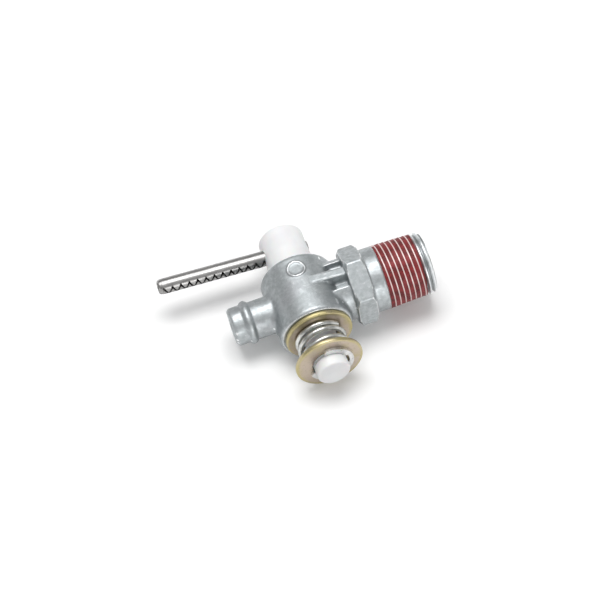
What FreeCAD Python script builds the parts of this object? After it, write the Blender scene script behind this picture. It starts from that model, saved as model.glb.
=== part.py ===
import FreeCAD, Part
import math
import os
from FreeCAD import Placement, Rotation, Vector

# Spring-loaded taper plug valve: male pipe thread in, hose nipple out, cross pin for a handle.
# Every piece is built about the crossing of the flow axis (X) and the plug axis (Y), with +Z up,
# and is moved on export so that the origin is the centre of the pipe end's mouth.

X = Vector(1, 0, 0)
Y = Vector(0, 1, 0)
Z = Vector(0, 0, 1)
OVERSHOOT = 1.0  # how far a cutting tool runs past the face it breaks through

# Reach of each end from the crossing of the two axes
inlet_reach = 33.8
outlet_reach = 20.5
handle_reach = 35.35

# Pipe thread, 3/8-18 taper, cut from the mouth inwards
thread_pitch = 25.4 / 18
thread_taper = 1 / 32  # growth of the radius along the thread
thread_mouth_radius = 8.33
thread_length = 13.0
thread_depth = 0.90
thread_root_flat = 0.12
thread_lead_turn = 40.0  # degrees about the flow axis, where the groove starts
mouth_chamfer = 0.75
shoulder_step = 0.08625  # the plain shoulder is this much below the first crest
sealant_bare_length = 2.75  # unsealed turns next to the mouth
sealant_below_crest = 0.10

# Hexagon
hex_across_flats = 18.6
hex_thickness = 5.2
hex_to_thread = 3.8
hex_corner_loss = 0.30
hex_edge_round = 0.3

# Neck between barrel and hexagon, with a web above and below
neck_radius = 8.35
neck_fillet = 1.0
web_thickness = 2.5
web_rise = 0.05  # above the neck, where the web meets the hexagon
web_sink = 0.10  # below the barrel's crest, where the web starts
web_start = 1.0  # from the plug axis
web_round = 0.3
pocket_width = 2.9
pocket_depth = 2.95
pocket_round = 0.7

# Barrel
barrel_radius = 9.8
barrel_front = 10.0
barrel_back = 9.2
barrel_back_round = 1.3
barrel_front_round = 0.9
barrel_fillet = 1.6
pad_radius = 2.45
pad_height = 0.22
pad_rim = 0.40
pad_from_back = 4.9

# Hose nipple
nipple_radius = 5.1
nipple_tip_chamfer = 0.65
bead_rise = 0.75
bead_width = 2.3
bead_from_tip = 4.6

# Passages
inlet_bore_radius = 5.5
inlet_bore_depth = 20.0
passage_radius = 3.3
outlet_bore_radius = 3.6
outlet_bore_depth = 12.0  # ends short of the plug, at the narrower passage
port_radius = 3.1

# Plug
seat_back_radius = 6.5
seat_taper = 0.05  # growth of the radius towards the back
seat_clearance = 0.04
plug_front_recess = 0.5
head_radius = 6.1
head_length = 13.5
head_round = 0.9
stem_radius = 4.4
stem_past_clip = 2.85
stem_round = 0.5

# Washers, spring and clip on the stem
washer_radius = 9.0
washer_thickness = 1.25
washer_hole_clearance = 0.35
washer_edge_round = 0.45
washer_play = 0.22  # how far each washer sits off the axis, within its hole's clearance
spring_length = 7.5
spring_stem_clearance = 0.95
spring_wire = 1.45
spring_turns = 3.1
clip_thickness = 0.8
clip_reach = 1.7  # past the stem's surface
clip_offset = 0.2  # outer edge off the axis, away from the mouth
clip_groove_depth = 0.9
clip_tip_round = 0.25
clip_window_reach = 0.7  # past the stem's surface
clip_window_span = 38.0  # degrees round the stem
clip_window_turn = 32.0  # degrees each way from the middle land
clip_turn = -30.0  # degrees from +X, about the plug axis, of the middle land
running_gap = 0.05

# Handle pin
pin_radius = 2.1
pin_wall = 0.75
pin_from_head_end = 5.1
pin_turn = 5.6  # degrees from the flow axis, far end raised
pin_proud = 0.1  # stands past the head on the short side
pin_tip_drop = 0.55
pin_tip_length = 1.2
slot_gap = 0.45
slot_pitch = 2.303
slot_swing = 1.65
slot_flat = 0.30
slot_first_peak = 1.29  # from the pin's far end
slot_turn = 1.0  # degrees above the plug axis

# Derived sizes and places
pocket_floor = neck_radius - pocket_depth
pad_place = barrel_back - pad_from_back
bead_radius = nipple_radius + bead_rise
head_reach = barrel_back + head_length
pin_place = head_reach - pin_from_head_end
spring_outer_radius = stem_radius + spring_stem_clearance + spring_wire
groove_radius = stem_radius - clip_groove_depth
clip_outer_radius = stem_radius + clip_reach
clip_window_radius = stem_radius + clip_window_reach
clip_mouth = 2 * (groove_radius + running_gap)
clip_tip_place = groove_radius
thread_start = inlet_reach - thread_length
hex_end = thread_start - hex_to_thread
hex_start = hex_end - hex_thickness
washer_hole_radius = stem_radius + washer_hole_clearance
rear_washer_front = -barrel_front - washer_thickness
front_washer_back = rear_washer_front - spring_length
front_washer_front = front_washer_back - washer_thickness
clip_back = front_washer_front - running_gap
clip_front = clip_back - clip_thickness
stem_reach = stem_past_clip - clip_front


def rod_x(radius, start, end):
    return Part.makeCylinder(radius, end - start, Vector(start, 0, 0), X)


def rod_y(radius, start, end):
    return Part.makeCylinder(radius, end - start, Vector(0, start, 0), Y)


def cone_x(start_radius, end_radius, start, end):
    return Part.makeCone(start_radius, end_radius, end - start, Vector(start, 0, 0), X)


def cone_y(start_radius, end_radius, start, end):
    return Part.makeCone(start_radius, end_radius, end - start, Vector(0, start, 0), Y)


def turned(points, axis):
    """Solid of revolution of (along, radius) points about X or Y."""
    if axis is X:
        corners = [Vector(along, 0, radius) for along, radius in points]
    else:
        corners = [Vector(0, along, radius) for along, radius in points]
    face = Part.Face(Part.makePolygon(corners + corners[:1]))
    return face.revolve(Vector(0, 0, 0), axis, 360)


def round_edges(shape, radius, wanted):
    return shape.makeFillet(radius, [edge for edge in shape.Edges if wanted(edge)])


def ring_at(edge, axis_name, place, radius):
    """True for a full circle of this radius, centred on the axis at this place."""
    curve = edge.Curve
    if not isinstance(curve, Part.Circle):
        return False
    at_place = abs(getattr(curve.Center, axis_name) - place) < 1e-4
    return at_place and abs(curve.Radius - radius) < 1e-4


def crest_radius(x):
    return thread_mouth_radius + (inlet_reach - x) * thread_taper


def thread_groove():
    """The helical V that is cut from the taper blank, longer than the thread at both ends."""
    start = inlet_reach + thread_pitch
    length = thread_length + thread_pitch
    rise = math.degrees(math.atan(thread_taper))
    helix = Part.makeLongHelix(thread_pitch, length, crest_radius(start), rise)
    flare = 0.08  # height of the V above the crest
    slope = math.tan(math.radians(30))
    bottom = crest_radius(start) - thread_depth
    top = crest_radius(start) + flare
    low_half = thread_root_flat / 2
    high_half = low_half + (thread_depth + flare) * slope
    corners = [
        Vector(bottom, 0, -low_half),
        Vector(bottom, 0, low_half),
        Vector(top, 0, high_half),
        Vector(top, 0, -high_half),
    ]
    profile = Part.makePolygon(corners + corners[:1])
    groove = Part.Wire(helix.Edges).makePipeShell([profile], True, True)
    groove.Placement = Placement(Vector(start, 0, 0), Rotation(X, thread_lead_turn) * Rotation(Z, -X))
    return groove


def pipe_end():
    """Threaded length with its mouth chamfer, and the plain shoulder up to the hexagon."""
    chamfer_start = inlet_reach - mouth_chamfer
    blank = turned(
        [
            (thread_start, 0),
            (thread_start, crest_radius(thread_start)),
            (chamfer_start, crest_radius(chamfer_start)),
            (inlet_reach, crest_radius(inlet_reach) - mouth_chamfer),
            (inlet_reach, 0),
        ],
        X,
    )
    shoulder = rod_x(crest_radius(thread_start) - shoulder_step, hex_end, thread_start)
    return blank.cut(thread_groove()).fuse(shoulder)


def hexagon():
    """Wrench hexagon with a corner up, its corners turned back on both faces."""
    corner = hex_across_flats / math.sqrt(3)
    corners = []
    for step in range(6):
        angle = math.radians(60 * step)
        corners.append(Vector(hex_start, corner * math.sin(angle), corner * math.cos(angle)))
    prism = Part.Face(Part.makePolygon(corners + corners[:1])).extrude(X * hex_thickness)
    prism = round_edges(prism, hex_edge_round, lambda e: abs(e.Length - hex_thickness) < 1e-6)
    face_radius = hex_across_flats / 2
    rim_radius = corner - hex_corner_loss / 2
    cut = (rim_radius - face_radius) * math.tan(math.radians(30))
    envelope = turned(
        [
            (hex_start, 0),
            (hex_start, face_radius),
            (hex_start + cut, rim_radius),
            (hex_end - cut, rim_radius),
            (hex_end, face_radius),
            (hex_end, 0),
        ],
        X,
    )
    return prism.common(envelope)


def nipple():
    """Plain length of the hose nipple, with its chamfered tip."""
    return turned(
        [
            (0, 0),
            (0, nipple_radius),
            (-outlet_reach + nipple_tip_chamfer, nipple_radius),
            (-outlet_reach, nipple_radius - nipple_tip_chamfer),
            (-outlet_reach, 0),
        ],
        X,
    )


def bead():
    """The nipple's bead: a swell with an arc for its profile."""
    rise = bead_radius - nipple_radius
    half = bead_width / 2
    centre = -outlet_reach + bead_from_tip
    left = Vector(centre - half, 0, nipple_radius)
    crown = Vector(centre, 0, nipple_radius + rise)
    right = Vector(centre + half, 0, nipple_radius)
    arc = Part.Arc(left, crown, right).toShape()
    base = Part.makePolygon([right, Vector(centre + half, 0, 0), Vector(centre - half, 0, 0), left])
    return Part.Face(Part.Wire([arc] + base.Edges)).revolve(Vector(0, 0, 0), X, 360)


def webs():
    """Web above and below the neck, one plate through the axis, that falls from barrel to hexagon."""
    low = neck_radius + web_rise
    high = barrel_radius - web_sink
    corners = [
        Vector(web_start, -web_thickness / 2, -high),
        Vector(web_start, -web_thickness / 2, high),
        Vector(hex_start, -web_thickness / 2, low),
        Vector(hex_start, -web_thickness / 2, -low),
    ]
    plate = Part.Face(Part.makePolygon(corners + corners[:1])).extrude(Y * web_thickness)
    return round_edges(plate, web_round, lambda e: e.BoundBox.XLength > hex_start / 2)


def along_x_at(edge, height):
    box = edge.BoundBox
    is_along_x = box.YLength < 1e-6 and box.ZLength < 1e-6
    return is_along_x and abs(abs(box.ZMin) - height) < 1e-6


def pockets():
    """Four pockets beside the webs, between barrel and hexagon, which keep the wall even."""
    depth = neck_radius + OVERSHOOT - pocket_floor
    tools = []
    for side in (-1, 1):
        for level in (-1, 1):
            pocket = Part.makeBox(hex_start, pocket_width, depth)
            low_y = web_thickness / 2 if side > 0 else -web_thickness / 2 - pocket_width
            low_z = pocket_floor if level > 0 else -pocket_floor - depth
            pocket.translate(Vector(0, low_y, low_z))
            pocket = round_edges(pocket, pocket_round, lambda e: along_x_at(e, pocket_floor))
            tools.append(pocket.cut(rod_y(barrel_radius, -barrel_front, barrel_back)))
    return tools


def barrel():
    core = rod_y(barrel_radius, -barrel_front, barrel_back)
    core = round_edges(core, barrel_back_round, lambda e: ring_at(e, "y", barrel_back, barrel_radius))
    return round_edges(
        core, barrel_front_round, lambda e: ring_at(e, "y", -barrel_front, barrel_radius)
    )


def pad():
    """Plain raised ring on top of the barrel."""
    top = barrel_radius + pad_height
    ring = Part.makeCylinder(pad_radius, top, Vector(0, pad_place, 0), Z)
    dish = Part.makeCylinder(pad_radius - pad_rim, top, Vector(0, pad_place, 0), Z)
    skin = rod_y(top, pad_place - pad_radius - OVERSHOOT, pad_place + pad_radius + OVERSHOOT)
    return ring.cut(dish).common(skin)


def seat_radius(y):
    return seat_back_radius - (barrel_back - y) * seat_taper


def seat(front, back, clearance=0.0):
    """Taper about the plug axis, shrunk by the clearance."""
    return cone_y(seat_radius(front) - clearance, seat_radius(back) - clearance, front, back)


def filleted_core():
    """Barrel, nipple root and neck, blended where they cross."""
    nipple_root = rod_x(nipple_radius, -barrel_radius - 2 * barrel_fillet, 0)
    core = barrel().fuse([nipple_root, rod_x(neck_radius, 0, hex_start)]).removeSplitter()
    crossings = [e for e in core.Edges if not isinstance(e.Curve, (Part.Circle, Part.Line))]
    core = core.makeFillet(barrel_fillet, [e for e in crossings if e.BoundBox.XMax < 0])
    crossings = [e for e in core.Edges if is_neck_crossing(e)]
    return core.makeFillet(neck_fillet, crossings)


def is_neck_crossing(edge):
    if isinstance(edge.Curve, (Part.Circle, Part.Line)):
        return False
    box = edge.BoundBox
    return box.XMin > 0 and box.XMax < hex_start - 1e-6 and box.YLength > neck_radius


def valve_body(pipe):
    outer = filleted_core().cut(pockets())
    outer = outer.fuse([webs(), nipple(), bead(), hexagon(), pad(), pipe])
    bores = [
        rod_x(inlet_bore_radius, inlet_reach - inlet_bore_depth, inlet_reach + OVERSHOOT),
        rod_x(passage_radius, -outlet_reach, inlet_reach),
        rod_x(outlet_bore_radius, -outlet_reach - OVERSHOOT, outlet_bore_depth - outlet_reach),
        seat(-barrel_front - OVERSHOOT, barrel_back + OVERSHOOT),
    ]
    return outer.cut(bores).removeSplitter()


def thread_sealant(pipe):
    """Sealant that fills the grooves, all but the last turns, to just under the crests."""
    start = thread_start
    end = inlet_reach - sealant_bare_length
    fill = cone_x(
        crest_radius(start) - sealant_below_crest, crest_radius(end) - sealant_below_crest, start, end
    )
    return fill.cut(pipe)


def clip_seat():
    """Ring cut from the stem where the clip snaps in, as wide as the clip plus its play."""
    tool = rod_y(stem_radius + OVERSHOOT, clip_front - running_gap, clip_back + running_gap)
    core = rod_y(groove_radius, clip_front - running_gap, clip_back + running_gap)
    return tool.cut(core)


def pin_frame(shape):
    """Turns a shape built along X, at the crossing, to the pin's place in the head."""
    shape.Placement = Placement(Vector(0, pin_place, 0), Rotation(Y, pin_turn)) * shape.Placement
    return shape


def plug():
    taper = seat(-barrel_front + plug_front_recess, barrel_back, seat_clearance)
    head = rod_y(head_radius, barrel_back, head_reach)
    head = round_edges(head, head_round, lambda e: ring_at(e, "y", head_reach, head_radius))
    stem = rod_y(stem_radius, -stem_reach, -barrel_front + plug_front_recess)
    stem = round_edges(stem, stem_round, lambda e: ring_at(e, "y", -stem_reach, stem_radius))
    body = taper.fuse([head, stem])
    port = rod_x(port_radius, -seat_back_radius - OVERSHOOT, seat_back_radius + OVERSHOOT)
    port.Placement = Placement(Vector(0, 0, 0), Rotation(Y, pin_turn))
    pin_hole = pin_frame(rod_x(pin_radius, -head_radius - OVERSHOOT, head_radius + OVERSHOOT))
    return body.cut([port, pin_hole, clip_seat()])


def slot_outline(start, end):
    """Closed strip of even height about a saw-tooth line whose peaks and valleys have short flats."""
    half_pitch = slot_pitch / 2
    slope = slot_swing / (half_pitch - slot_flat)
    half_height = slot_gap / 2 * math.sqrt(1 + slope**2)
    before_start = math.ceil((slot_first_peak + OVERSHOOT) / slot_pitch)
    corner = start + slot_first_peak - before_start * slot_pitch
    side = 1
    line = []
    while corner < end + OVERSHOOT + half_pitch:
        line.append((corner - slot_flat / 2, side * slot_swing / 2))
        line.append((corner + slot_flat / 2, side * slot_swing / 2))
        corner += half_pitch
        side = -side
    upper = [Vector(x, 0, z + half_height) for x, z in line]
    lower = [Vector(x, 0, z - half_height) for x, z in reversed(line)]
    return Part.makePolygon(upper + lower + upper[:1])


def handle_pin():
    """Rolled spring pin: a tube with drawn-in ends and a saw-tooth slot along its whole length."""
    start = -handle_reach
    end = head_radius + pin_proud
    tip = pin_radius - pin_tip_drop
    shoulder = pin_radius - pin_tip_drop / 3
    tube = turned(
        [
            (start, pin_radius - pin_wall),
            (start, tip),
            (start + pin_tip_length / 3, shoulder),
            (start + pin_tip_length, pin_radius),
            (end - pin_tip_length, pin_radius),
            (end - pin_tip_length / 3, shoulder),
            (end, tip),
            (end, pin_radius - pin_wall),
        ],
        X,
    )
    slot = Part.Face(slot_outline(start, end)).extrude(Y * -(pin_radius + OVERSHOOT))
    slot.Placement = Placement(Vector(0, 0, 0), Rotation(X, -slot_turn))
    return pin_frame(tube.cut(slot))


def washer(back, front, shift):
    """Flat washer with rolled outer edges, sitting off the axis by the shift."""
    disc = rod_y(washer_radius, front, back)
    for place in (back, front):
        disc = round_edges(disc, washer_edge_round, lambda e: ring_at(e, "y", place, washer_radius))
    ring = disc.cut(rod_y(washer_hole_radius, front - OVERSHOOT, back + OVERSHOOT))
    ring.translate(shift)
    return ring


def spring():
    """Compression spring of even pitch, whose wire touches both washers."""
    mean_radius = spring_outer_radius - spring_wire / 2
    height = spring_length - spring_wire
    helix = Part.makeLongHelix(height / spring_turns, height, mean_radius)
    ring = Part.Wire(Part.makeCircle(spring_wire / 2, Vector(mean_radius, 0, 0), Y))
    coil = Part.Wire(helix.Edges).makePipeShell([ring], True, True)
    start = Vector(0, rear_washer_front - spring_wire / 2, 0)
    coil.Placement = Placement(start, Rotation(Z, -Y))
    return coil


def clip_window(turn):
    """Sector tool for one of the two windows between the clip's lands."""
    reach = clip_outer_radius
    half = math.radians(clip_window_span / 2)
    corners = [
        Vector(0, 0, 0),
        Vector(reach, 0, -reach * math.tan(half)),
        Vector(reach, 0, reach * math.tan(half)),
    ]
    sector = Part.Face(Part.makePolygon(corners + corners[:1])).extrude(Y * clip_thickness)
    sector.translate(Vector(0, clip_front, 0))
    window = sector.common(rod_y(clip_window_radius, clip_front, clip_back))
    window.Placement = Placement(Vector(0, 0, 0), Rotation(Y, -turn))
    return window


def retaining_clip():
    """E-shaped clip: an open ring with two windows, snapped into the stem's groove from the side."""
    disc = rod_y(clip_outer_radius, clip_front, clip_back)
    disc.translate(X * clip_offset)
    hole = rod_y(groove_radius + running_gap, clip_front - OVERSHOOT, clip_back + OVERSHOOT)
    length = 2 * clip_outer_radius
    mouth = Part.makeBox(length, clip_thickness, clip_mouth)
    mouth.translate(Vector(-length, clip_front, -clip_mouth / 2))
    beyond_tips = Part.makeBox(length, clip_thickness, 2 * length)
    beyond_tips.translate(Vector(-clip_tip_place - length, clip_front, -length))
    clip = disc.cut([hole, mouth, beyond_tips, clip_window(clip_window_turn), clip_window(-clip_window_turn)])
    clip = round_edges(clip, clip_tip_round, is_clip_tip)
    clip.Placement = Placement(Vector(0, 0, 0), Rotation(Y, -clip_turn))
    return clip


def is_clip_tip(edge):
    box = edge.BoundBox
    return box.XLength < 1e-6 and box.ZLength < 1e-6 and abs(box.XMin + clip_tip_place) < 1e-6


def export(name, shape):
    shape.translate(Vector(-inlet_reach, 0, 0))
    solids = shape.Solids
    shape = solids[0] if len(solids) == 1 else Part.makeCompound(solids)
    print(name, "solids", len(solids), "valid", shape.isValid(), "volume", round(shape.Volume, 2))
    shape.exportStep(os.path.join("parts", name + ".step"))


def main():
    os.makedirs("parts", exist_ok=True)
    pipe = pipe_end()
    export("valve_body", valve_body(pipe))
    export("thread_sealant", thread_sealant(pipe))
    export("plug", plug())
    export("handle_pin", handle_pin())
    export("rear_washer", washer(-barrel_front, rear_washer_front, X * washer_play))
    export("front_washer", washer(front_washer_back, front_washer_front, Z * -washer_play))
    export("spring", spring())
    export("retaining_clip", retaining_clip())


main()
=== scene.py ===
import math
import bmesh
import bpy
import numpy as np
from mathutils import Matrix, Vector, noise


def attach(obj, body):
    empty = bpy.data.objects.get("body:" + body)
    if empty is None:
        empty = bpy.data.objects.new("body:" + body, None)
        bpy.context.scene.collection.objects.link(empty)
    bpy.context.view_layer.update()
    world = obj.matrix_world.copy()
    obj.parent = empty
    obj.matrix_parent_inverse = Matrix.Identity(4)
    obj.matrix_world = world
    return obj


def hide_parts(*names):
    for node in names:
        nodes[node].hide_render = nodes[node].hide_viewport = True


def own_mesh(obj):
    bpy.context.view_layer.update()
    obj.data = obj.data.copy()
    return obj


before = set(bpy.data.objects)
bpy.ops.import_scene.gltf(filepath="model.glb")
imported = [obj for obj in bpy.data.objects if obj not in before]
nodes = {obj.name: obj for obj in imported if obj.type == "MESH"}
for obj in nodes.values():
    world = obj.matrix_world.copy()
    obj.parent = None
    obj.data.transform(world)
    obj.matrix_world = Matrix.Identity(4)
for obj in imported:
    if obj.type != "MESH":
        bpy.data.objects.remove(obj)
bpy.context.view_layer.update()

mm = 0.001
crossing = Vector((-33.8 * mm, 0, 0))  # where the flow axis meets the plug axis
print("stage: frame loaded,", len(nodes), "nodes")


class Wire:
    def __init__(self, bench, socket):
        self.bench = bench
        self.socket = socket

    def maths(self, operation, *others):
        sockets = {0: self}
        for place, other in enumerate(others, start=1):
            sockets[place] = other
        return self.bench.put("ShaderNodeMath", {"operation": operation}, sockets)

    def reflected(self, operation, other):
        return self.bench.put("ShaderNodeMath", {"operation": operation}, {0: other, 1: self})

    def __add__(self, other):
        return self.maths("ADD", other)

    __radd__ = __add__

    def __sub__(self, other):
        return self.maths("SUBTRACT", other)

    def __rsub__(self, other):
        return self.reflected("SUBTRACT", other)

    def __mul__(self, other):
        return self.maths("MULTIPLY", other)

    __rmul__ = __mul__

    def __truediv__(self, other):
        return self.maths("DIVIDE", other)

    def __pow__(self, other):
        return self.maths("POWER", other)

    def __gt__(self, other):
        return self.maths("GREATER_THAN", other)

    def __lt__(self, other):
        return self.maths("LESS_THAN", other)


class Bench:
    def __init__(self, tree):
        self.tree = tree

    def put(self, kind, settings=None, sockets=None, give=0):
        node = self.tree.nodes.new(kind)
        for key, value in (settings or {}).items():
            setattr(node, key, value)
        for key, value in (sockets or {}).items():
            self.feed(self.find(node.inputs, key), value)
        return Wire(self, self.find(node.outputs, give)) if node.outputs else None

    def find(self, sockets, key):
        if isinstance(key, int):
            return sockets[key]
        named = [s for s in sockets if s.identifier == key]
        return named[0] if named else sockets[key]

    def feed(self, socket, value):
        if isinstance(value, Wire):
            self.tree.links.new(value.socket, socket)
        elif isinstance(value, tuple) and socket.type == "RGBA":
            socket.default_value = (*value, 1)
        else:
            socket.default_value = value

    def split(self, vector):
        node = self.put("ShaderNodeSeparateXYZ", {}, {0: vector}).socket.node
        return [Wire(self, output) for output in node.outputs]

    def grain(self, where, scale, detail=3.0, roughness=0.55):
        return self.put("ShaderNodeTexNoise", {},
                        {"Vector": where, "Scale": scale, "Detail": detail, "Roughness": roughness})

    def step(self, value, low, high, toLow=0.0, toHigh=1.0):
        return self.put("ShaderNodeMapRange", {"interpolation_type": "SMOOTHSTEP"},
                        {0: value, 1: low, 2: high, 3: toLow, 4: toHigh})

    def mix(self, share, first, second):
        return self.put("ShaderNodeMix", {"data_type": "RGBA"},
                        {"Factor_Float": share, "A_Color": first, "B_Color": second}, "Result_Color")


def finishOf(name, recipe, **plain):
    material = bpy.data.materials.new(name)
    material.use_nodes = True
    material.node_tree.nodes.clear()
    bench = Bench(material.node_tree)
    where = bench.put("ShaderNodeTexCoord", {}, {}, "Object")
    sockets = dict(plain)
    sockets.update(recipe(bench, where))
    shader = bench.put("ShaderNodeBsdfPrincipled", {}, sockets)
    bench.put("ShaderNodeOutputMaterial", {}, {"Surface": shader})
    return material


def bumpOf(bench, height, distance, strength, under=None):
    sockets = {"Strength": strength, "Distance": distance, "Height": height}
    if under:
        sockets["Normal"] = under
    return bench.put("ShaderNodeBump", {}, sockets, "Normal")


def aboutCrossing(bench, where):
    shifted = bench.put("ShaderNodeVectorMath", {"operation": "SUBTRACT"}, {0: where, 1: tuple(crossing)})
    return bench.split(shifted)


# the pale edge colour serves the sand grains and the edges, which are partly worn and partly a painted
# highlight
zinc = {
    "dark": (0.368, 0.396, 0.405), "light": (0.468, 0.497, 0.508), "mauve": (0.43, 0.43, 0.455),
    # the darkest colour is painted shade, for creases, pockets and the ring's dished middle
    "edge": (0.86, 0.87, 0.875), "paintedShade": (0.17, 0.18, 0.19), "pit": (0.24, 0.25, 0.265),
    "cloudScale": 760, "driftScale": 150, "sandScale": 1500, "speckScale": 3400,
    "rough": (0.49, 0.41), "wornPolish": 0.12, "ringWearAndHighlight": 0.22, "dishShade": 0.45,
    "grainDepth": 0.045 * mm, "sandDepth": 0.09 * mm,
}
# raised ring on the barrel, with its dished middle
ring = {"place": 4.3 * mm, "outer": 2.45 * mm, "inner": 2.05 * mm, "above": 8.8 * mm,
        "innerEdge": (-0.12 * mm, 0.08 * mm), "outerEdge": (-0.08 * mm, 0.10 * mm),
        "dishEdge": (-0.30 * mm, -0.05 * mm), "foot": 0.22 * mm}


def ringMask(bench, x, y, z):
    reach = (x * x + (y - ring["place"]) * (y - ring["place"])) ** 0.5
    band = bench.step(reach, *(ring["inner"] + edge for edge in ring["innerEdge"]))
    band = band * bench.step(reach, *(ring["outer"] + edge for edge in ring["outerEdge"]), 1.0, 0.0)
    dish = bench.step(reach, *(ring["inner"] + edge for edge in ring["dishEdge"]), 0.35, 1.0)
    dish = dish * (1 - band) * (reach < ring["outer"] + ring["foot"])
    top = z > ring["above"]
    return band * top, dish * top


def zincRecipe(bench, where):
    cloud = bench.grain(where, zinc["cloudScale"], 5, 0.62)
    drift = bench.grain(where, zinc["driftScale"], 2, 0.5)
    sand = bench.grain(where, zinc["sandScale"], 4, 0.6)
    speck = bench.grain(where, zinc["speckScale"], 3, 0.6)
    base = bench.mix(bench.step(cloud, 0.34, 0.66), zinc["dark"], zinc["light"])
    base = bench.mix(bench.step(drift, 0.50, 0.70, 0.0, 0.30), base, zinc["mauve"])
    base = bench.mix(bench.step(sand, 0.58, 0.72, 0.0, 0.30), base, zinc["edge"])
    base = bench.mix(bench.step(speck, 0.60, 0.74, 0.0, 0.45), base, zinc["pit"])
    bend = bench.put("ShaderNodeNewGeometry", {}, {}, "Pointiness")
    # painted shade: the lower the pointiness, the darker the creases and pockets are made
    base = bench.mix(bench.step(bend, 0.485, 0.43, 0.0, 0.75), base, zinc["paintedShade"])
    raised, sunk = ringMask(bench, *aboutCrossing(bench, where))
    # painted shade darkens the ring's dished middle
    base = bench.mix(sunk * zinc["dishShade"], base, zinc["paintedShade"])
    # edges and the raised ring are lightened, partly as wear and partly as a painted highlight
    wearAndHighlight = bench.step(bend, 0.515, 0.56, 0.0, 0.9).maths("MAXIMUM", raised * zinc["ringWearAndHighlight"])
    base = bench.mix(wearAndHighlight, base, zinc["edge"])
    rough = bench.step(cloud, 0.35, 0.65, *zinc["rough"]) - wearAndHighlight * zinc["wornPolish"]
    grainBump = bumpOf(bench, speck, zinc["grainDepth"], 0.8)
    sandBump = bumpOf(bench, sand, zinc["sandDepth"], 0.6, under=grainBump)
    return {"Base Color": base, "Roughness": rough, "Normal": sandBump}


# the taper thread: its crests show as bare metal lines between the rows of sealant
crest = {"pitch": 25.4 / 18 * mm, "taper": 1 / 32, "mouth": 8.33 * mm, "depth": 0.90 * mm,
         "flat": 0.12 * mm, "lead": 40.0, "bare": 2.75 * mm, "outside": 7.2 * mm,
         "chalk": (0.76, 0.62, 0.60), "metal": (0.86, 0.88, 0.885), "dull": (0.66, 0.69, 0.70),
         "shade": (0.33, 0.34, 0.35), "scuffScale": 900, "skinScale": 2200,
         "rough": (0.30, 0.48), "skinDepth": 0.012 * mm, "metallic": 0.85, "chalkLoss": 0.7}


def threadRecipe(bench, where):
    x, y, z = bench.split(where)
    reach = (y * y + z * z) ** 0.5
    below = crest["mouth"] - x * crest["taper"] - reach
    top = bench.step(below, 0.02 * mm, 0.16 * mm, 1.0, 0.0)
    sealed = bench.step(x, -crest["bare"] - 0.5 * mm, -crest["bare"] + 0.3 * mm, 1.0, 0.0)
    outer = reach > crest["outside"]
    scuff = bench.grain(where, crest["scuffScale"], 3, 0.6)
    base = bench.mix(bench.step(scuff, 0.35, 0.65), crest["dull"], crest["metal"])
    # painted shade darkens the thread's grooves
    groove = bench.step(below, 0.30 * mm, 0.75 * mm, 0.0, 0.8) * outer
    base = bench.mix(groove, base, crest["shade"])
    stain = sealed * top * outer * bench.step(scuff, 0.30, 0.50, 0.55, 1.0)
    base = bench.mix(stain, base, crest["chalk"])
    skin = bench.grain(where, crest["skinScale"], 2)
    return {"Base Color": base, "Roughness": bench.step(scuff, 0.3, 0.7, *crest["rough"]),
            "Metallic": crest["metallic"] - stain * crest["chalkLoss"],
            "Normal": bumpOf(bench, skin, crest["skinDepth"], 0.7)}


driedRed = {"deep": (0.100, 0.005, 0.006), "bright": (0.240, 0.011, 0.014), "dusty": (0.46, 0.12, 0.11),
            "patchScale": 520, "fineScale": 2400, "rough": (0.66, 0.50), "fineDepth": 0.03 * mm}


def sealantRecipe(bench, where):
    patch = bench.grain(where, driedRed["patchScale"], 4, 0.6)
    fine = bench.grain(where, driedRed["fineScale"], 3, 0.6)
    base = bench.mix(bench.step(patch, 0.32, 0.66), driedRed["deep"], driedRed["bright"])
    base = bench.mix(bench.step(fine, 0.64, 0.74, 0.0, 0.35), base, driedRed["dusty"])
    return {"Base Color": base, "Roughness": bench.step(patch, 0.3, 0.7, *driedRed["rough"]),
            "Normal": bumpOf(bench, fine, driedRed["fineDepth"], 0.8)}


plastic = {"shade": (0.84, 0.84, 0.85), "white": (0.885, 0.885, 0.89), "flowScale": 180, "skinScale": 3000,
           "rough": (0.40, 0.30), "skinDepth": 0.008 * mm, "glow": 0.12, "glowReach": 0.6 * mm}


def plasticRecipe(bench, where):
    flow = bench.grain(where, plastic["flowScale"], 3, 0.5)
    skin = bench.grain(where, plastic["skinScale"], 2, 0.5)
    base = bench.mix(bench.step(flow, 0.35, 0.65), plastic["shade"], plastic["white"])
    return {"Base Color": base, "Roughness": bench.step(flow, 0.3, 0.7, *plastic["rough"]),
            "Normal": bumpOf(bench, skin, plastic["skinDepth"], 0.6)}


chromate = {"face": (0.525, 0.445, 0.365), "gold": (0.50, 0.435, 0.225), "olive": (0.20, 0.195, 0.09),
            "rimStart": 7.9 * mm, "rimEnd": 8.65 * mm, "filmScale": 240, "fineScale": 1500,
            "rough": (0.30, 0.44), "fineDepth": 0.008 * mm}


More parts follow.
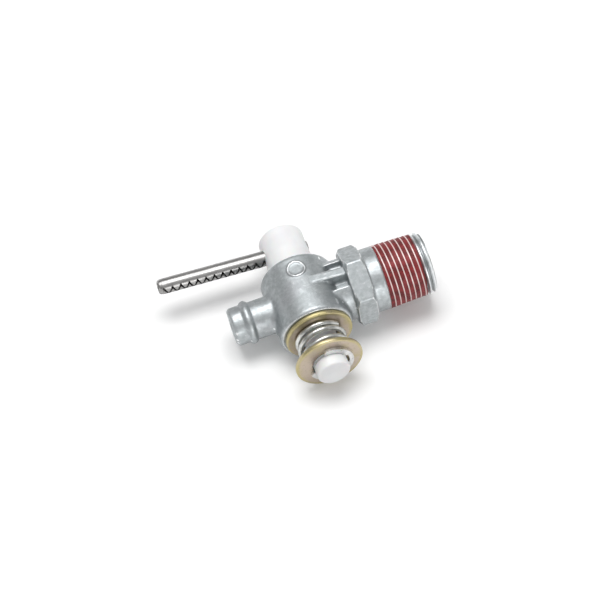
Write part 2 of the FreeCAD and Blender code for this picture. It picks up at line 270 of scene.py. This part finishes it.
def chromateRecipe(bench, where):
    x, _, z = aboutCrossing(bench, where)
    reach = (x * x + z * z) ** 0.5
    film = bench.grain(where, chromate["filmScale"], 3, 0.55)
    fine = bench.grain(where, chromate["fineScale"], 3, 0.6)
    rim = bench.step(reach, chromate["rimStart"], chromate["rimEnd"])
    base = bench.mix(bench.step(film, 0.44, 0.66, 0.0, 0.5), chromate["face"], chromate["gold"])
    base = bench.mix(rim * bench.step(film, 0.3, 0.6, 0.6, 1.0), base, chromate["gold"])
    base = bench.mix(bench.step(fine, 0.56, 0.74, 0.0, 0.5), base, chromate["olive"])
    return {"Base Color": base, "Roughness": bench.step(film, 0.3, 0.7, *chromate["rough"]),
            "Normal": bumpOf(bench, fine, chromate["fineDepth"], 0.6)}


springWire = {"shade": (0.47, 0.48, 0.46), "bright": (0.72, 0.73, 0.705), "drawnScale": 420,
              "rough": (0.27, 0.34), "drawnDepth": 0.004 * mm}


def springRecipe(bench, where):
    drawn = bench.grain(where, springWire["drawnScale"], 3, 0.55)
    base = bench.mix(bench.step(drawn, 0.35, 0.65), springWire["shade"], springWire["bright"])
    return {"Base Color": base, "Roughness": bench.step(drawn, 0.3, 0.7, *springWire["rough"]),
            "Normal": bumpOf(bench, drawn, springWire["drawnDepth"], 0.3)}


# the streaks run along the pin, which leans a little from the X axis
rolledPin = {"shade": (0.31, 0.305, 0.30), "bright": (0.385, 0.38, 0.375), "lean": 5.6, "stretch": 0.06,
             "streakScale": 3600, "cloudScale": 380, "rough": (0.31, 0.38), "streakDepth": 0.003 * mm}


def pinRecipe(bench, where):
    along = bench.put("ShaderNodeMapping", {}, {
        "Vector": where, "Rotation": (0, math.radians(rolledPin["lean"]), 0),
        "Scale": (rolledPin["stretch"], 1, 1)})
    streak = bench.grain(along, rolledPin["streakScale"], 3, 0.6)
    cloud = bench.grain(where, rolledPin["cloudScale"], 3)
    base = bench.mix(bench.step(streak, 0.35, 0.65), rolledPin["shade"], rolledPin["bright"])
    return {"Base Color": base, "Roughness": bench.step(cloud, 0.3, 0.7, *rolledPin["rough"]),
            "Normal": bumpOf(bench, streak, rolledPin["streakDepth"], 0.4)}


clipPlate = {"shade": (0.60, 0.60, 0.595), "bright": (0.76, 0.76, 0.75), "rolledScale": 520,
             "rough": (0.26, 0.38), "rolledDepth": 0.006 * mm}


def clipRecipe(bench, where):
    rolled = bench.grain(where, clipPlate["rolledScale"], 3, 0.6)
    base = bench.mix(bench.step(rolled, 0.35, 0.65), clipPlate["shade"], clipPlate["bright"])
    return {"Base Color": base, "Roughness": bench.step(rolled, 0.3, 0.7, *clipPlate["rough"]),
            "Normal": bumpOf(bench, rolled, clipPlate["rolledDepth"], 0.4)}


castZinc = finishOf("castZinc", zincRecipe, Metallic=0.88)
threadMetal = finishOf("threadMetal", threadRecipe)
driedSealant = finishOf("driedSealant", sealantRecipe)
whitePlastic = finishOf("whitePlastic", plasticRecipe,
                        **{"Subsurface Weight": plastic["glow"], "Subsurface Scale": plastic["glowReach"]})
yellowChromate = finishOf("yellowChromate", chromateRecipe, Metallic=0.92)
springZinc = finishOf("springZinc", springRecipe, Metallic=1.0)
pinSteel = finishOf("pinSteel", pinRecipe, Metallic=1.0)
clipZinc = finishOf("clipZinc", clipRecipe, Metallic=1.0)
print("stage: finishes made")


def shown(name, mesh, material, body, slotName, *stoodFor):
    piece = bpy.data.objects.new(name, mesh)
    bpy.context.scene.collection.objects.link(piece)
    mesh.materials.clear()
    mesh.materials.append(material)
    mesh.polygons.foreach_set("material_index", np.zeros(len(mesh.polygons), np.int32))
    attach(piece, body)
    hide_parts(*stoodFor)
    return piece


weld = 0.0001 * mm  # loose corners nearer than this are one


def cutCopy(node, planeX, keepLow):
    mesh = nodes[node].data.copy()
    shape = bmesh.new()
    shape.from_mesh(mesh)
    bmesh.ops.remove_doubles(shape, verts=shape.verts, dist=weld)
    everything = shape.verts[:] + shape.edges[:] + shape.faces[:]
    cut = bmesh.ops.bisect_plane(shape, geom=everything, plane_co=(planeX, 0, 0), plane_no=(1, 0, 0),
                                 clear_outer=keepLow, clear_inner=not keepLow)
    rim = [e for e in cut["geom_cut"] if isinstance(e, bmesh.types.BMEdge)]
    bmesh.ops.triangle_fill(shape, edges=rim, use_beauty=True, use_dissolve=False)
    bmesh.ops.recalc_face_normals(shape, faces=shape.faces)
    if any(len(edge.link_faces) != 2 for edge in shape.edges):
        raise RuntimeError(node + " is not closed after its cut")
    shape.to_mesh(mesh)
    shape.free()
    return mesh


def settled(piece):
    return bpy.data.meshes.new_from_object(piece.evaluated_get(bpy.context.evaluated_depsgraph_get()))


casting = {"voxel": 0.235 * mm, "softness": 2, "swell": 0.03 * mm, "swellSize": 3.5 * mm,
           "flash": 0.10 * mm, "flashWidth": 0.16 * mm, "flashAlong": 900, "flashAcross": 500,
           "flashLeast": 0.55, "flashSwing": 0.9, "flashSeed": 4.0,
           "seatBack": 6.5 * mm, "seatTaper": 0.05, "seatBite": 0.22 * mm, "seatEnd": 10.3 * mm,
           "boreEdge": 5.6 * mm, "barrelBack": 9.2 * mm, "barrelFront": -10.0 * mm, "faceBite": 0.20 * mm,
           "ringLift": 0.10 * mm,
           "threadStart": -13.02 * mm}  # just off the step, so that the cut closes
hexagon = {"start": 11.8 * mm, "end": 17.0 * mm, "across": 18.6 * mm, "neck": 8.75 * mm,
           "shoulder": 9.0 * mm, "bite": 0.20 * mm, "margin": 0.15 * mm,
           "rim": 10.588 * mm}  # how far the turned corners reach


def crispHexagon(local, crossWise):
    inside = ((local[:, 0] > hexagon["start"] - hexagon["margin"])
              & (local[:, 0] < hexagon["end"] + hexagon["margin"]))
    outer = inside & (crossWise > hexagon["neck"])
    for side in range(6):
        angle = math.radians(30 + 60 * side)
        facing = np.array((0.0, math.sin(angle), math.cos(angle)))
        gap = local @ facing - hexagon["across"] / 2
        near = outer & (np.abs(gap) < hexagon["bite"])
        local[near] -= gap[near, None] * facing
    reach = np.hypot(local[:, 1], local[:, 2])
    proud = inside & (reach > hexagon["rim"])
    local[proud, 1:] *= (hexagon["rim"] / reach[proud])[:, None]
    for place, above in ((hexagon["start"], hexagon["neck"]), (hexagon["end"], hexagon["shoulder"])):
        near = (np.abs(local[:, 0] - place) < hexagon["bite"]) & (crossWise > above)
        local[near, 0] = place
    return local


def softenedBody():
    piece = bpy.data.objects.new("castingWork", cutCopy("valve_body", casting["threadStart"], True))
    bpy.context.scene.collection.objects.link(piece)
    remesh = piece.modifiers.new("remesh", "REMESH")
    remesh.mode = "VOXEL"
    remesh.voxel_size = casting["voxel"]
    soft = piece.modifiers.new("soft", "SMOOTH")
    soft.factor = 0.5
    soft.iterations = casting["softness"]
    mesh = settled(piece)
    bpy.data.objects.remove(piece)
    return mesh


def castLift(point):
    lift = casting["swell"] * noise.noise(point / casting["swellSize"])
    nearSplit = max(0.0, 1 - abs(point.z) / casting["flashWidth"])  # the mould's halves meet at z = 0
    if nearSplit:
        place = Vector((point.x * casting["flashAlong"], point.y * casting["flashAcross"],
                        casting["flashSeed"]))
        ragged = casting["flashLeast"] + casting["flashSwing"] * noise.noise(place)
        lift += casting["flash"] * nearSplit * max(0.0, ragged)
    return lift


def castingMesh():
    mesh = softenedBody()
    count = len(mesh.vertices)
    flat = np.zeros(count * 3, np.float32)
    mesh.vertices.foreach_get("co", flat)
    points = flat.reshape(-1, 3).astype(float)
    mesh.vertices.foreach_get("normal", flat)
    normals = flat.reshape(-1, 3).astype(float)
    local = points - np.array(crossing)
    reach = np.hypot(local[:, 0], local[:, 2])
    about = np.hypot(local[:, 1], local[:, 2])
    seatReach = casting["seatBack"] - (casting["barrelBack"] - local[:, 1]) * casting["seatTaper"]
    inSeat = (np.abs(reach - seatReach) < casting["seatBite"]) & (np.abs(local[:, 1]) < casting["seatEnd"])
    facesIn = normals[:, 1] * local[:, 1] + normals[:, 2] * local[:, 2] < 0
    inBore = (about < casting["boreEdge"]) & facesIn
    lift = np.zeros(count)
    for i in np.flatnonzero(~inSeat & ~inBore):
        lift[i] = castLift(Vector(points[i]))
    points += normals * lift[:, None]
    onRing = np.hypot(local[:, 0], local[:, 1] - ring["place"])
    onRing = (onRing > ring["inner"]) & (onRing < ring["outer"]) & (local[:, 2] > ring["above"])
    points[onRing, 2] += casting["ringLift"]
    points = crispHexagon(points - np.array(crossing), about) + np.array(crossing)
    atFace = np.abs(local[:, 1] - casting["barrelFront"]) < casting["faceBite"]
    points[atFace, 1] = casting["barrelFront"]
    wide = seatReach / np.maximum(reach, weld)  # the seat goes back to its true cone
    for axis in (0, 2):
        moved = local[:, axis] * wide + crossing[axis]
        points[inSeat, axis] = moved[inSeat]
    mesh.vertices.foreach_set("co", points.astype(np.float32).ravel())
    mesh.update()
    mesh.polygons.foreach_set("use_smooth", np.ones(len(mesh.polygons), bool))
    return mesh


bodyCasting = shown("bodyCasting", castingMesh(), castZinc, "valve_body", "die_cast", "valve_body")
print("stage: body casting,", len(bodyCasting.data.polygons), "faces")
threadedEnd = shown("threadedEnd", cutCopy("valve_body", casting["threadStart"], False), threadMetal,
                    "valve_body", "die_cast", "valve_body")
for polygon in threadedEnd.data.polygons:
    polygon.use_smooth = False


def newTree(name, sizes):
    tree = bpy.data.node_groups.new(name, "GeometryNodeTree")
    tree.interface.new_socket("Mesh", in_out="OUTPUT", socket_type="NodeSocketGeometry")
    keys = {}
    for key, value in sizes.items():
        kind = "NodeSocketInt" if isinstance(value, int) else "NodeSocketFloat"
        keys[key] = tree.interface.new_socket(key, in_out="INPUT", socket_type=kind).identifier
    bench = Bench(tree)
    ask = tree.nodes.new("NodeGroupInput")
    asked = {key: Wire(bench, ask.outputs[key]) for key in sizes}
    return tree, bench, asked, keys


def finishTree(bench, geometry, material):
    geometry = bench.put("GeometryNodeSetShadeSmooth", {}, {"Geometry": geometry, "Shade Smooth": True})
    geometry = bench.put("GeometryNodeRealizeInstances", {}, {"Geometry": geometry})
    geometry = bench.put("GeometryNodeSetMaterial", {}, {"Geometry": geometry, "Material": material})
    bench.put("NodeGroupOutput", {}, {0: geometry})


def grown(tree, sizes, keys):
    work = bpy.data.objects.new("grownWork", bpy.data.meshes.new("grownWork"))
    bpy.context.scene.collection.objects.link(work)
    modifier = work.modifiers.new("grow", "NODES")
    modifier.node_group = tree
    for key, value in sizes.items():
        modifier[keys[key]] = value
    mesh = settled(work)
    bpy.data.objects.remove(work)
    return mesh


coil = {"meanRadius": 6.075 * mm, "wireRadius": 0.725 * mm, "turns": 3.1, "points": 420,
        "back": -11.975 * mm, "height": 6.05 * mm, "sides": 28, "lead": 35.0}


def coilTree():
    tree, bench, asked, keys = newTree("coilSpring", coil)
    line = bench.put("GeometryNodeMeshLine", {}, {"Count": asked["points"]})
    index = bench.put("GeometryNodeInputIndex")
    turn = index / (asked["points"] - 1.0) * asked["turns"]  # the first and last turns lie closed
    fromEnd = asked["turns"] - turn
    wire = asked["wireRadius"] * 2.0
    pitch = (asked["height"] - wire * 2.0) / (asked["turns"] - 2.0)

    def closed(t):
        t = t.maths("MINIMUM", 1.0)
        cubic = pitch - wire * 2.0
        return (wire - cubic) * t * t + cubic * t * t * t

    middle = (turn - 1.0).maths("MAXIMUM", 0.0).maths("MINIMUM", asked["turns"] - 2.0) * pitch
    fall = closed(turn) + middle + wire - closed(fromEnd)
    angle = turn * (2 * math.pi) + asked["lead"] * (math.pi / 180)
    place = bench.put("ShaderNodeCombineXYZ", {}, {
        "X": angle.maths("COSINE") * asked["meanRadius"] + crossing.x,
        "Y": asked["back"] - fall, "Z": angle.maths("SINE") * asked["meanRadius"]})
    line = bench.put("GeometryNodeSetPosition", {}, {"Geometry": line, "Position": place})
    path = bench.put("GeometryNodeMeshToCurve", {}, {"Mesh": line})
    section = bench.put("GeometryNodeCurvePrimitiveCircle", {}, {"Resolution": asked["sides"],
                                                                 "Radius": asked["wireRadius"]})
    mesh = bench.put("GeometryNodeCurveToMesh", {}, {
        "Curve": path, "Profile Curve": section, "Fill Caps": True})
    finishTree(bench, mesh, springZinc)
    return tree, keys


springTree, springKeys = coilTree()
coilSpring = shown("coilSpring", grown(springTree, coil, springKeys), springZinc, "valve_body",
                   "spring_steel", "spring")
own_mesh(coilSpring)
print("stage: spring,", len(coilSpring.data.polygons), "faces")

coat = {"rows": 132, "columns": 224, "start": -13.0 * mm, "end": -2.75 * mm, "pitch": crest["pitch"],
        "mouth": crest["mouth"], "sag": 0.09 * mm, "shy": 0.03 * mm, "inner": 7.55 * mm,
        "lumps": 0.05 * mm, "lumpsAlong": 700.0, "lumpsAround": 6.0,
        "ragged": 0.8 * mm, "raggedScale": 2.6, "weld": 0.0005 * mm}


def coatTree():
    tree, bench, asked, keys = newTree("sealantCoat", coat)
    # a unit grid rolled into a sleeve: its rows run out over the thread, then back along the inside
    grid = bench.put("GeometryNodeMeshGrid", {}, {"Size X": 1.0, "Size Y": 1.0,
                                                  "Vertices X": asked["rows"] + 4.0,
                                                  "Vertices Y": asked["columns"]})
    across, around, _ = bench.split(bench.put("GeometryNodeInputPosition"))
    row = ((across + 0.5) * (asked["rows"] + 3.0)).maths("ROUND")
    angle = (around + 0.5) * (2 * math.pi)
    goingBack = row > asked["rows"] + 1.5
    along = (row / asked["rows"]).maths("MINIMUM", 1.0) * (1 - goingBack)
    circle = bench.put("ShaderNodeCombineXYZ", {}, {"X": angle.maths("COSINE"), "Y": angle.maths("SINE")})
    ragged = (bench.grain(circle, asked["raggedScale"], 3) - 0.5) * asked["ragged"]
    x = asked["start"] + along * (asked["end"] - asked["start"] + ragged)
    phase = (x / asked["pitch"] + angle / (2 * math.pi) + crest["lead"] / 360).maths("FRACT")
    off = ((phase - 0.5).maths("ABSOLUTE") * -1.0 + 0.5) * asked["pitch"]
    half = crest["flat"] / 2 + crest["depth"] * math.tan(math.radians(30))
    share = (off / half).maths("MINIMUM", 1.0)
    dip = (1 - share * share) * asked["sag"] + (off - half).maths("MAXIMUM", 0.0) * 2.0
    lump = bench.put("ShaderNodeCombineXYZ", {}, {
        "X": x * asked["lumpsAlong"], "Y": angle.maths("SINE") * asked["lumpsAround"],
        "Z": angle.maths("COSINE") * asked["lumpsAround"]})
    uneven = (bench.grain(lump, 1.0, 3) - 0.5) * asked["lumps"]
    outer = asked["mouth"] - x * crest["taper"] - asked["shy"] - dip + uneven
    inside = (row > asked["rows"] + 0.5) * (row < asked["rows"] + 2.5)
    radius = outer * (1 - inside) + asked["inner"] * inside
    place = bench.put("ShaderNodeCombineXYZ", {}, {"X": x, "Y": angle.maths("SINE") * radius,
                                                   "Z": angle.maths("COSINE") * radius})
    grid = bench.put("GeometryNodeSetPosition", {}, {"Geometry": grid, "Position": place})
    grid = bench.put("GeometryNodeMergeByDistance", {}, {"Geometry": grid, "Distance": asked["weld"]})
    finishTree(bench, grid, driedSealant)
    return tree, keys


sealTree, sealKeys = coatTree()
sealantCoat = shown("sealantCoat", grown(sealTree, coat, sealKeys), driedSealant, "valve_body",
                    "sealant", "thread_sealant")
print("stage: sealant coat,", len(sealantCoat.data.polygons), "faces")

nodeFinish = {"plug": whitePlastic, "handle_pin": pinSteel, "rear_washer": yellowChromate,
              "front_washer": yellowChromate, "retaining_clip": clipZinc,
              "valve_body": castZinc, "thread_sealant": driedSealant, "spring": springZinc}
for name, material in nodeFinish.items():
    mesh = nodes[name].data
    mesh.materials.clear()
    mesh.materials.append(material)

# the valve lies tilted, so the floor slopes and the frame stays level; "unseen" is what it bounces
floor = {"size": 0.9, "slope": 0.0637, "drop": 9.82 * mm, "shown": (0.95, 0.95, 0.95),
         "unseen": (0.58, 0.58, 0.58), "lift": 0.07,
         "farLift": 0.75, "farStart": 0.08, "farEnd": 0.24}


def floorFinish():
    material = bpy.data.materials.new("paleFloor")
    material.use_nodes = True
    material.node_tree.nodes.clear()
    bench = Bench(material.node_tree)
    seen = [bench.put("ShaderNodeLightPath", {}, {}, ray)
            for ray in ("Is Camera Ray", "Is Glossy Ray", "Is Transmission Ray")]
    shows = (seen[0] + seen[1] + seen[2]).maths("MINIMUM", 1.0)
    pale = bench.mix(shows, floor["unseen"], floor["shown"])
    x, y, _ = aboutCrossing(bench, bench.put("ShaderNodeTexCoord", {}, {}, "Object"))
    away = (x * x + y * y) ** 0.5
    lift = bench.step(away, floor["farStart"], floor["farEnd"], floor["lift"], floor["farLift"])
    plain = bench.put("ShaderNodeBsdfDiffuse", {}, {"Color": pale})
    glow = bench.put("ShaderNodeEmission", {}, {"Color": (1.0, 1.0, 1.0), "Strength": shows * lift})
    both = bench.put("ShaderNodeAddShader", {}, {0: plain, 1: glow})
    through = bench.put("ShaderNodeBsdfTransparent")
    under = bench.put("ShaderNodeNewGeometry", {}, {}, "Backfacing")
    surface = bench.put("ShaderNodeMixShader", {}, {0: under, 1: both, 2: through})
    bench.put("ShaderNodeOutputMaterial", {}, {"Surface": surface})
    return material


def floorPiece():
    half = floor["size"] / 2
    corners = []
    for sideX, sideY in ((-1, -1), (1, -1), (1, 1), (-1, 1)):
        across = sideX * half
        corners.append((crossing.x + across, sideY * half, -floor["drop"] - floor["slope"] * across))
    mesh = bpy.data.meshes.new("floor")
    mesh.from_pydata(corners, [], [(0, 1, 2, 3)])
    mesh.materials.append(floorFinish())
    piece = bpy.data.objects.new("floor", mesh)
    bpy.context.scene.collection.objects.link(piece)
    return piece


ground = floorPiece()

# what the metal mirrors: pale low down, darker half way up, bright overhead
sky = {"soft": 0.44, "glossHigh": 0.74, "glossLow": 0.92, "glossFront": 0.32,
       "lowEdge": (0.05, 0.35), "highEdge": (0.45, 0.95)}


def skyLight():
    world = bpy.data.worlds.new("studio")
    world.use_nodes = True
    world.node_tree.nodes.clear()
    bench = Bench(world.node_tree)
    looks = bench.put("ShaderNodeTexCoord", {}, {}, "Generated")
    up = bench.split(looks)[2]
    band = bench.step(up, *sky["lowEdge"], sky["glossLow"], sky["glossFront"])
    band = band + bench.step(up, *sky["highEdge"], 0.0, sky["glossHigh"] - sky["glossFront"])
    camera = bench.put("ShaderNodeLightPath", {}, {}, "Is Camera Ray")
    clear = bench.put("ShaderNodeLightPath", {}, {}, "Is Transmission Ray")
    gloss = bench.put("ShaderNodeLightPath", {}, {}, "Is Glossy Ray")
    white = (camera + clear).maths("MINIMUM", 1.0)
    level = white + (1 - white) * (gloss * band + (1 - gloss) * sky["soft"])
    backdrop = bench.put("ShaderNodeBackground", {}, {"Color": (1.0, 1.0, 1.0), "Strength": level})
    bench.put("ShaderNodeOutputWorld", {}, {"Surface": backdrop})
    bpy.context.scene.world = world


skyLight()


def lamp(name, place, size, watts):
    light = bpy.data.lights.new(name, "AREA")
    light.shape = "RECTANGLE"
    light.size, light.size_y = size
    light.energy = watts
    holder = bpy.data.objects.new(name, light)
    bpy.context.scene.collection.objects.link(holder)
    holder.location = place
    holder.rotation_mode = "QUATERNION"
    holder.rotation_quaternion = (crossing - Vector(place)).to_track_quat("-Z", "Y")
    holder.visible_camera = False


lamps = {"keySoftbox": {"place": (-0.01, 0.085, 0.49), "size": (0.38, 0.26), "watts": 1.78},
         "frontSoftbox": {"place": (0.05, -0.48, 0.11), "size": (0.30, 0.16), "watts": 0.60}}
for name, light in lamps.items():
    lamp(name, **light)

# angles in degrees; the aim is measured from the crossing
lookFrom = {"turn": -7.94, "height": 54.36, "roll": -12.36, "distance": 523.6 * mm,
            "aim": (-1.19 * mm, 1.01 * mm, 0.59 * mm), "lens": 120, "sensor": 36, "nearest": 10 * mm}
lens = bpy.data.cameras.new("camera")
lens.lens = lookFrom["lens"]
lens.sensor_width = lookFrom["sensor"]
lens.clip_start = lookFrom["nearest"]
camera = bpy.data.objects.new("camera", lens)
bpy.context.scene.collection.objects.link(camera)
turned = Matrix.Rotation(math.radians(lookFrom["turn"]), 4, "Z")
turned = turned @ Matrix.Rotation(math.radians(90 - lookFrom["height"]), 4, "X")
turned = turned @ Matrix.Rotation(math.radians(lookFrom["roll"]), 4, "Z")
aim = crossing + Vector(lookFrom["aim"])
camera.matrix_world = Matrix.Translation(aim) @ turned @ Matrix.Translation((0, 0, lookFrom["distance"]))
bpy.context.scene.camera = camera
bpy.context.scene.view_settings.view_transform = "Standard"
print("stage: floor, light and camera placed")
